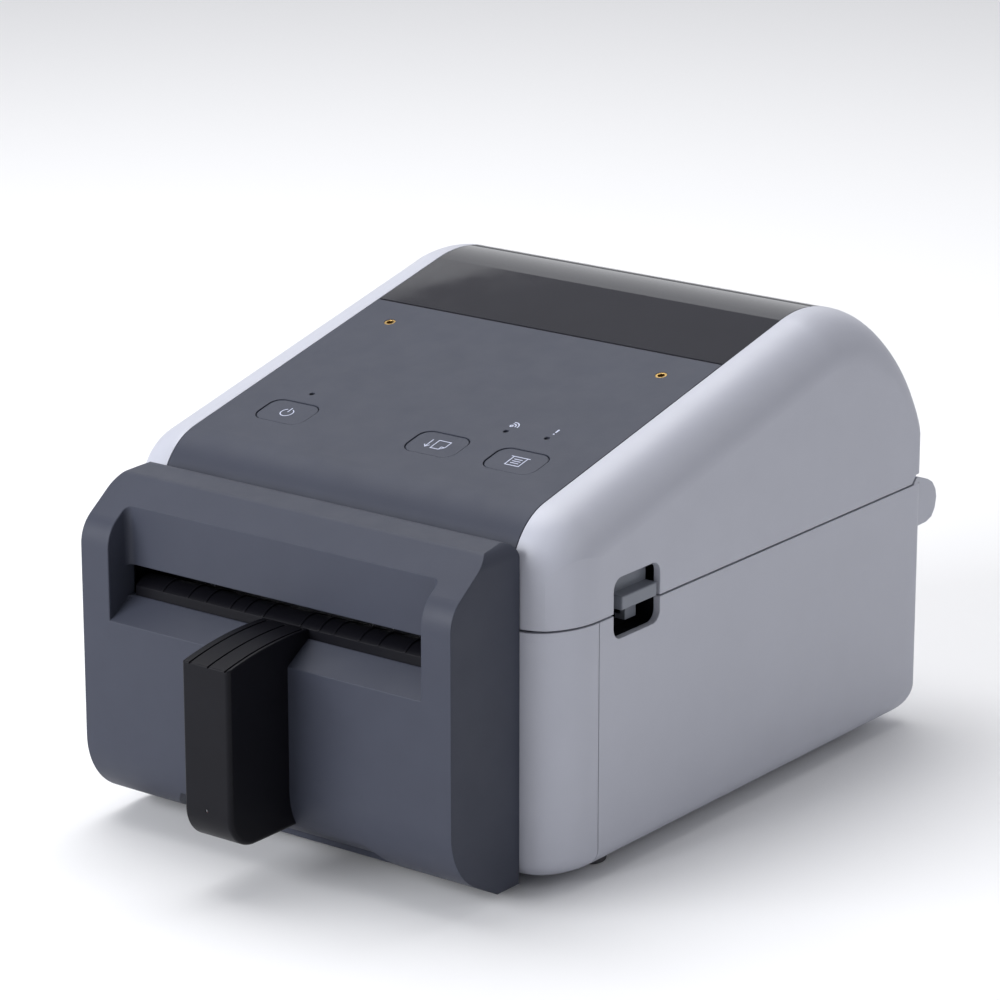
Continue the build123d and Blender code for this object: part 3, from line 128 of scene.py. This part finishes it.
def plastic(name, color, rough, grain=0.45 * MM, depth=0.02 * MM, edge=0.35 * MM, spread=0.03,
            specular=0.5):
    """Moulded plastic with fine grain."""
    mat, tree, bsdf = shader(name)
    bsdf.inputs["IOR"].default_value = ACRYLIC_IOR
    bsdf.inputs["Specular IOR Level"].default_value = specular
    vary_color(tree, bsdf, color, scale=60, spread=spread)
    vary_roughness(tree, bsdf, rough - 0.04, rough + 0.04, scale=90)
    add_grain(tree, bsdf, grain, depth, edge)
    return mat


def metal(name, color, rough, brush=(1.0, 1.0, 1.0), edge=0.2 * MM):
    """Metal with fine machining marks, drawn out along the axis with the small stretch."""
    mat, tree, bsdf = shader(name)
    bsdf.inputs["Metallic"].default_value = 1.0
    vary_color(tree, bsdf, color, scale=120, spread=0.05, stretch=brush)
    vary_roughness(tree, bsdf, rough - 0.06, rough + 0.06, scale=300)
    add_grain(tree, bsdf, size=0.3 * MM, depth=0.004 * MM, edge=edge, stretch=brush)
    return mat


def smoked(name):
    """Smoked clear plastic of the media window."""
    mat, tree, bsdf = shader(name)
    bsdf.inputs["IOR"].default_value = ACRYLIC_IOR
    bsdf.inputs["Transmission Weight"].default_value = 0.55
    vary_color(tree, bsdf, (0.05, 0.05, 0.062), scale=40, spread=0.04)
    vary_roughness(tree, bsdf, 0.02, 0.05, scale=70)
    return mat


def glow_lens(name, color):
    """Unlit lamp lens: cloudy plastic with a gloss."""
    mat, tree, bsdf = shader(name)
    bsdf.inputs["IOR"].default_value = ACRYLIC_IOR
    bsdf.inputs["Subsurface Weight"].default_value = 0.2
    bsdf.inputs["Subsurface Scale"].default_value = 0.5 * MM
    vary_color(tree, bsdf, color, scale=400, spread=0.1)
    vary_roughness(tree, bsdf, 0.15, 0.25, scale=400)
    return mat


MASK_OVER_COPPER = (0.03, 0.16, 0.07, 1)
MASK_OVER_RESIN = (0.012, 0.09, 0.04, 1)


def board(name):
    """Solder mask with faint copper traces below it."""
    mat, tree, bsdf = shader(name)
    bsdf.inputs["IOR"].default_value = 1.5
    bsdf.inputs["Coat Weight"].default_value = 0.4
    place = tree.nodes.new("ShaderNodeTexCoord")
    traces = node(tree, "ShaderNodeTexVoronoi", Scale=260.0)
    traces.distance = "MANHATTAN"
    traces.feature = "F1"
    ramp = tree.nodes.new("ShaderNodeValToRGB")
    ramp.color_ramp.interpolation = "CONSTANT"
    ramp.color_ramp.elements[0].color = MASK_OVER_COPPER
    ramp.color_ramp.elements[1].color = MASK_OVER_RESIN
    ramp.color_ramp.elements[1].position = 0.35
    tree.links.new(place.outputs["Object"], traces.inputs["Vector"])
    tree.links.new(traces.outputs["Distance"], ramp.inputs["Fac"])
    tree.links.new(ramp.outputs["Color"], bsdf.inputs["Base Color"])
    vary_roughness(tree, bsdf, 0.3, 0.4, scale=200)
    return mat


CHARCOAL = (0.042, 0.0465, 0.066)
MATERIALS = {
    "white_shell": plastic("white_shell", (0.43, 0.44, 0.50), 0.40, depth=0.012 * MM, edge=0.5 * MM,
                           spread=0.012),
    "charcoal_plastic": plastic("charcoal_plastic", CHARCOAL, 0.5, grain=0.4 * MM, depth=0.03 * MM,
                                edge=0.45 * MM, spread=0.03, specular=0.22),
    "smoked_window": smoked("smoked_window"),
    "black_plastic": plastic("black_plastic", (0.0055, 0.0055, 0.008), 0.42, depth=0.015 * MM,
                             edge=0.3 * MM, spread=0.08, specular=0.12),
    "dark_frame": plastic("dark_frame", (0.022, 0.022, 0.025), 0.55, spread=0.08),
    "lever_grey": plastic("lever_grey", (0.20, 0.215, 0.25), 0.45, depth=0.01 * MM, spread=0.04),
    "steel": metal("steel", (0.58, 0.58, 0.60), 0.32),
    "black_steel": plastic("black_steel", (0.012, 0.012, 0.014), 0.45, edge=0.2 * MM, spread=0.06),
    "blade_steel": metal("blade_steel", (0.66, 0.66, 0.68), 0.22, brush=(0.05, 1.0, 1.0)),
    "platen_rubber": plastic("platen_rubber", (0.018, 0.018, 0.019), 0.7, grain=0.25 * MM,
                             depth=0.03 * MM, edge=0, spread=0.1),
    "feet_rubber": plastic("feet_rubber", (0.06, 0.06, 0.065), 0.75, grain=0.3 * MM, depth=0.03 * MM,
                           edge=0.3 * MM, spread=0.1),
    "gear_plastic": plastic("gear_plastic", (0.72, 0.70, 0.62), 0.35, depth=0.01 * MM),
    "bush_plastic": plastic("bush_plastic", (0.05, 0.05, 0.05), 0.4),
    "motor_steel": metal("motor_steel", (0.42, 0.42, 0.44), 0.38, brush=(0.1, 1.0, 1.0)),
    "media_guide_plastic": plastic("media_guide_plastic", (0.05, 0.052, 0.062), 0.5),
    "brass_insert": metal("brass_insert", (0.62, 0.40, 0.13), 0.28),
    "led_lens": glow_lens("led_lens", (0.06, 0.062, 0.068)),
    "circuit_board": board("circuit_board"),
    "switch_plastic": plastic("switch_plastic", (0.03, 0.03, 0.03), 0.4),
    "heatsink_aluminium": metal("heatsink_aluminium", (0.72, 0.73, 0.75), 0.36, brush=(0.05, 1.0, 1.0)),
    "head_ceramic": plastic("head_ceramic", (0.62, 0.58, 0.50), 0.2, depth=0.003 * MM),
    "connector_black": plastic("connector_black", (0.02, 0.02, 0.02), 0.42),
    "connector_metal": metal("connector_metal", (0.66, 0.66, 0.68), 0.3),
}
SLOT_OF = {s["node"]: s["material_slot"] for s in frame["record"]["subparts"]}
for name, obj in NODES.items():
    obj.data.materials.clear()
    obj.data.materials.append(MATERIALS[SLOT_OF[name]])

INK = plastic("panel_ink", (0.46, 0.49, 0.62), 0.5, depth=0.004 * MM, edge=0, spread=0.05)
GOLD = metal("contact_gold", (0.85, 0.60, 0.22), 0.22)


# ---- printed icons ------------------------------------------------------------------------
INK_T = 0.03 * MM
ICON_LIFT = 0.01 * MM
STROKE_W = 0.34         # in millimetres, like the points of a stroke
SHARPEST_MITRE = 0.4    # keeps a sharp corner of a stroke from running far out
FLAT_WITHIN = 0.02 * MM     # how near to the highest vertex still counts as a flat top


class Surface:
    """A flat place on the object: its middle, across and up directions, and normal."""

    def __init__(self, middle, across, normal):
        self.middle = Vector(middle)
        self.across = Vector(across).normalized()
        self.normal = Vector(normal).normalized()
        self.up = self.normal.cross(self.across)

    def at(self, x, y, lift):
        """Point x across, y up and lift above the surface."""
        return self.middle + self.across * x + self.up * y + self.normal * lift


def ribbon(mesh, surface, points, width, closed=False):
    """Adds a flat stroke of a width along points in millimetres on a surface, as a thin solid."""
    count = len(points)
    left, right = [], []
    for i, point in enumerate(points):
        here = Vector(point)
        before = Vector(points[i - 1]) if (i or closed) else here
        after = Vector(points[(i + 1) % count]) if (i < count - 1 or closed) else here
        arrive = (here - before).normalized() if (here - before).length else (after - here).normalized()
        leave = (after - here).normalized() if (after - here).length else arrive
        along = (arrive + leave).normalized()
        side = Vector((-along.y, along.x))
        reach = width / 2 / max(side.dot(Vector((-arrive.y, arrive.x))), SHARPEST_MITRE)
        left.append(here + side * reach)
        right.append(here - side * reach)

    def vertex(spot, lift):
        """New vertex of the mesh at a spot on the surface."""
        return mesh.verts.new(surface.at(spot.x * MM, spot.y * MM, lift))

    rings = []
    for i in range(count):
        rings.append([vertex(left[i], ICON_LIFT), vertex(right[i], ICON_LIFT),
                      vertex(right[i], ICON_LIFT + INK_T), vertex(left[i], ICON_LIFT + INK_T)])
    spans = count if closed else count - 1
    for i in range(spans):
        one, two = rings[i], rings[(i + 1) % count]
        for k in range(4):
            mesh.faces.new((one[k], one[(k + 1) % 4], two[(k + 1) % 4], two[k]))
    if not closed:
        mesh.faces.new(rings[0])
        mesh.faces.new(rings[-1][::-1])


def arc(cx, cy, radius, start, end, steps=20):
    """Points along an arc, angles in degrees."""
    turn = [math.radians(start + (end - start) * i / steps) for i in range(steps + 1)]
    return [(cx + radius * math.cos(a), cy + radius * math.sin(a)) for a in turn]


def mesh_object(name, mesh, material, body):
    """Links a mesh as a piece with one material that rides on a body."""
    bmesh.ops.recalc_face_normals(mesh, faces=mesh.faces[:])
    data = bpy.data.meshes.new(name)
    mesh.to_mesh(data)
    mesh.free()
    obj = bpy.data.objects.new(name, data)
    bpy.context.scene.collection.objects.link(obj)
    data.materials.append(material)
    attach(obj, body)
    return obj


def icon(name, surface, strokes, body, width=STROKE_W):
    """Ink strokes on a surface; each stroke is (points, closed)."""
    mesh = bmesh.new()
    for points, closed in strokes:
        ribbon(mesh, surface, points, width, closed)
    return mesh_object(name, mesh, INK, body)


NORMAL = -Vector(JOINTS["power_press"]["axis"])     # out of the control panel


def top_middle(verts):
    """Middle of the flat top that some vertices have along the panel's normal."""
    top = max(v.dot(NORMAL) for v in verts)
    cap = [v for v in verts if v.dot(NORMAL) > top - FLAT_WITHIN]
    return sum(cap, Vector()) / len(cap)


def button_top(name):
    """The flat top of a button, as a surface."""
    middle = top_middle([v.co for v in NODES[name].data.vertices])
    low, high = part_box(name)
    middle.x = (low.x + high.x) / 2
    return Surface(middle, (1, 0, 0), NORMAL)


INSERT_DEEP = 2.6 * MM      # the insert's mount lies this far below the panel's surface
panel_spot = Vector(MOUNTS["panel_insert_right"]["pos_m"]) + NORMAL * INSERT_DEEP
panel = Surface((0, panel_spot.y, panel_spot.z), (1, 0, 0), NORMAL)

power_icon = [(arc(0, -0.2, 2.3, 118, 422), False), ([(0, 0.2), (0, 2.9)], False)]
icon("power_icon", button_top("power_button"), power_icon, "power_button")

feed_icon = [([(-3.2, 2.4), (-3.2, -2.3)], False), ([(-4.2, -1.2), (-3.2, -2.5), (-2.2, -1.2)], False),
             ([(-0.9, 2.6), (3.9, 2.6), (3.9, -1.0), (2.4, -2.6), (-0.9, -2.6)], True),
             ([(3.9, -1.0), (2.4, -1.0), (2.4, -2.6)], False)]
icon("feed_icon", button_top("feed_button"), feed_icon, "feed_button")

print_icon = [([(-3.7, 2.7), (3.7, 2.7)], False),
              ([(-2.7, 2.7), (-2.7, -2.7), (2.7, -2.7), (2.7, 2.7)], False)]
print_icon += [([(-1.6, y), (1.6, y)], False) for y in (1.2, 0.0, -1.2)]
icon("print_icon", button_top("print_button"), print_icon, "print_button")


LAMPS_APART = 5 * MM        # lamps are further apart than this, and each is narrower
ABOVE_LAMP = 4.6 * MM
RIGHT_OF_LAMP = 0.4 * MM


def lamp_spots():
    """Middle of each status lamp's top, from left to right."""
    verts = sorted((v.co.copy() for v in NODES["status_leds"].data.vertices), key=lambda v: v.x)
    groups, last = [], None
    for v in verts:
        if last is None or v.x - last > LAMPS_APART:
            groups.append([])
        groups[-1].append(v)
        last = v.x
    return [top_middle(group) for group in groups]


def above_lamp(spot):
    """Panel surface just up the slope from a lamp."""
    level = (panel.middle - spot).dot(NORMAL)
    place = spot + NORMAL * level + panel.up * ABOVE_LAMP + Vector((RIGHT_OF_LAMP, 0, 0))
    return Surface(place, (1, 0, 0), NORMAL)


lamps = lamp_spots()
wave_icon = [(arc(-0.9, -0.9, 0.5, 0, 360, 12)[:-1], True), (arc(-0.9, -0.9, 1.5, -10, 100, 10), False),
             (arc(-0.9, -0.9, 2.5, -10, 100, 12), False)]
icon("media_status_icon", above_lamp(lamps[1]), wave_icon, "cover", 0.4)
warning_icon = [([(0, 1.7), (0, -0.4)], False), ([(0, -1.2), (0, -1.75)], False)]
icon("warning_icon", above_lamp(lamps[2]), warning_icon, "cover", 0.6)


# ---- contacts in the network socket ------------------------------------------------------
CONTACTS = 8
CONTACT_PITCH, CONTACT_W, CONTACT_T = 1.02 * MM, 0.45 * MM, 0.25 * MM
CONTACT_FROM_BACK, CONTACT_FROM_MOUTH = 1 * MM, 3 * MM


def add_bar(mesh, low, high):
    """Adds a box between two corners to a mesh."""
    low, high = Vector(low), Vector(high)
    bar = bmesh.ops.create_cube(mesh, size=1.0)["verts"]
    bmesh.ops.scale(mesh, vec=high - low, verts=bar)
    bmesh.ops.translate(mesh, vec=(low + high) / 2, verts=bar)


socket = next(o for o in frame["record"]["physics"]["openings"] if o["name"] == "network_socket")
inner, outer = (Vector(corner) for corner in socket["box_m"])
contacts = bmesh.new()
for i in range(CONTACTS):
    x = (inner.x + outer.x) / 2 + (i - (CONTACTS - 1) / 2) * CONTACT_PITCH
    add_bar(contacts, (x - CONTACT_W / 2, inner.y + CONTACT_FROM_BACK, outer.z - CONTACT_T),
            (x + CONTACT_W / 2, outer.y - CONTACT_FROM_MOUTH, outer.z))
mesh_object("network_contacts", contacts, GOLD, "base")


# ---- camera, floor and light --------------------------------------------------------------
def look_from(azimuth, elevation):
    """Direction from the object towards a viewer, in degrees."""
    a, e = math.radians(azimuth), math.radians(elevation)
    return Vector((math.sin(a) * math.cos(e), -math.cos(a) * math.cos(e), math.sin(e)))


def aim(obj, place, target):
    """Puts an object at a place, looking along its -Z at a target."""
    obj.location = place
    obj.rotation_euler = (Vector(target) - Vector(place)).to_track_quat("-Z", "Y").to_euler()


CAMERA_AT = Vector((0.83339, -1.09229, 0.51798))
CAMERA_AZIMUTH, CAMERA_ELEVATION = 37.12, 17.08
SENSOR_W, LENS = 36.0, 154.8
camera_data = bpy.data.cameras.new("camera")
camera_data.sensor_width = SENSOR_W
camera_data.lens = LENS
camera = bpy.data.objects.new("camera", camera_data)
bpy.context.scene.collection.objects.link(camera)
aim(camera, CAMERA_AT, CAMERA_AT - look_from(CAMERA_AZIMUTH, CAMERA_ELEVATION))
bpy.context.scene.camera = camera


LIGHTS_AIM = (0, 0, 0.08)
NEUTRAL, COOL, COOLER = (1.0, 1.0, 1.0), (0.97, 0.98, 1.0), (0.96, 0.975, 1.0)
WORLD_COLOR, WORLD_STRENGTH = (0.94, 0.95, 1.0, 1), 0.27
FLOOR_COLOR, FLOOR_ROUGH, FLOOR_HALF = (0.84, 0.84, 0.85, 1), 0.9, 12


def softbox(name, place, size, power, color):
    """Area light at a place, aimed at the object; power in watts."""
    data = bpy.data.lights.new(name, "AREA")
    data.shape = "RECTANGLE"
    data.size, data.size_y = size
    data.energy = power
    data.color = color
    light = bpy.data.objects.new(name, data)
    bpy.context.scene.collection.objects.link(light)
    aim(light, place, LIGHTS_AIM)


softbox("top_softbox", (-0.4, 0.25, 1.45), (1.5, 1.2), 21.0, NEUTRAL)
softbox("front_left_softbox", (-0.7, -1.6, 0.75), (1.3, 0.9), 35.0, COOLER)
softbox("right_softbox", (1.7, 0.5, 1.0), (1.4, 1.0), 5.0, COOL)
softbox("back_softbox", (-1.5, 2.1, 1.0), (2.6, 1.5), 9.0, COOL)

world = bpy.data.worlds.new("studio")
bpy.context.scene.world = world
world.use_nodes = True
world.node_tree.nodes["Background"].inputs["Color"].default_value = WORLD_COLOR
world.node_tree.nodes["Background"].inputs["Strength"].default_value = WORLD_STRENGTH
bpy.context.scene.view_settings.view_transform = "Standard"

floor_mesh = bmesh.new()
bmesh.ops.create_grid(floor_mesh, x_segments=1, y_segments=1, size=FLOOR_HALF)
floor_data = bpy.data.meshes.new("floor")
floor_mesh.to_mesh(floor_data)
floor_mesh.free()
floor = bpy.data.objects.new("floor", floor_data)
bpy.context.scene.collection.objects.link(floor)
floor_mat, _, floor_bsdf = shader("floor")
floor_bsdf.inputs["Base Color"].default_value = FLOOR_COLOR
floor_bsdf.inputs["Roughness"].default_value = FLOOR_ROUGH
floor_data.materials.append(floor_mat)
